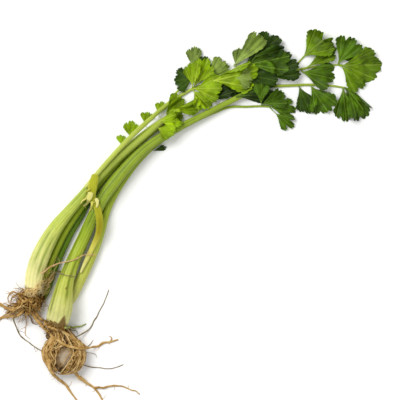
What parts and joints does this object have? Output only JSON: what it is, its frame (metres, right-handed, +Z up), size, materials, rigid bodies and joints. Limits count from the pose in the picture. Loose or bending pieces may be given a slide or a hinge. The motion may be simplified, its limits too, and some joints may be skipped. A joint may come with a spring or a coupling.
{
  "type": "head of celery",
  "caption": "Leaf celery: two rooted plants lying together as one bunch, bound by a wilted stalk, with lobed leaves; lies flat for cooking or a shop display.",
  "frame": {"origin": "centre of the bunch's box, on the surface that it lies on", "axes": "+Z up from the surface, +X towards the outermost leaves, +Y from the roots towards the leafy side of the bend"},
  "size_m": [0.4296, 0.415, 0.0296],
  "materials": {
    "stalk": "satin, ribbed",
    "deep_stalk": "satin, ribbed",
    "pale_stalk": "satin, ribbed",
    "wilted_stalk": "wrinkled",
    "leaf": "satin, veined",
    "dark_leaf": "satin, veined",
    "young_leaf": "satin, veined",
    "pale_leaf": "matte underside",
    "crown": "rough, soiled",
    "root": "fibrous"
  },
  "bodies": {
    "root": {"front_root_pink": "root", "leaf_crisp_1": "young_leaf", "leaf_crisp_2": "young_leaf", "leaf_crisp_3": "young_leaf", "leaf_dark_1": "dark_leaf", "leaf_dark_2": "dark_leaf", "leaf_dark_3": "dark_leaf", "leaf_dark_4": "dark_leaf", "leaf_edge_2": "young_leaf", "leaf_edge_3": "young_leaf", "leaf_high_1": "leaf", "leaf_high_2": "leaf", "leaf_high_3": "leaf", "leaf_high_4": "leaf", "leaf_high_5": "pale_leaf", "leaf_left_1": "dark_leaf", "leaf_left_2": "dark_leaf", "leaf_left_3": "pale_leaf", "leaf_left_4": "pale_leaf", "leaf_low_1": "leaf", "leaf_low_2": "leaf", "leaf_low_3": "dark_leaf", "leaf_low_4": "leaf", "leaf_pale_1": "pale_leaf", "leaf_side_1": "leaf", "leaf_side_2": "leaf", "leaf_side_3": "leaf", "leaf_side_4": "pale_leaf", "leaf_stem_back": "stalk", "leaf_stem_high": "stalk", "leaf_stem_left": "stalk", "leaf_stem_low": "stalk", "leaf_stem_top": "stalk", "leaf_stem_young": "stalk", "leaf_top": "leaf", "leaf_under_main": "dark_leaf", "leaf_young_1": "young_leaf", "leaf_young_2": "young_leaf", "leaf_young_3": "young_leaf", "leaf_young_4": "young_leaf", "leaf_young_5": "pale_leaf", "leaf_young_6": "young_leaf", "left_crown": "crown", "left_inner_stalk": "deep_stalk", "left_middle_stalk": "stalk", "left_outer_stalk": "pale_stalk", "left_root_across": "root", "left_root_drooping": "root", "left_root_long": "root", "left_root_low": "root", "right_crown": "crown", "right_main_stalk": "stalk", "right_root_back": "root", "right_root_ball": "root", "right_root_fork": "root", "right_root_main": "root", "right_root_upright": "root", "right_side_stalk": "stalk", "wilted_tie": "wilted_stalk", "young_leaf_stalk": "pale_stalk"}
  },
  "joints": []
}
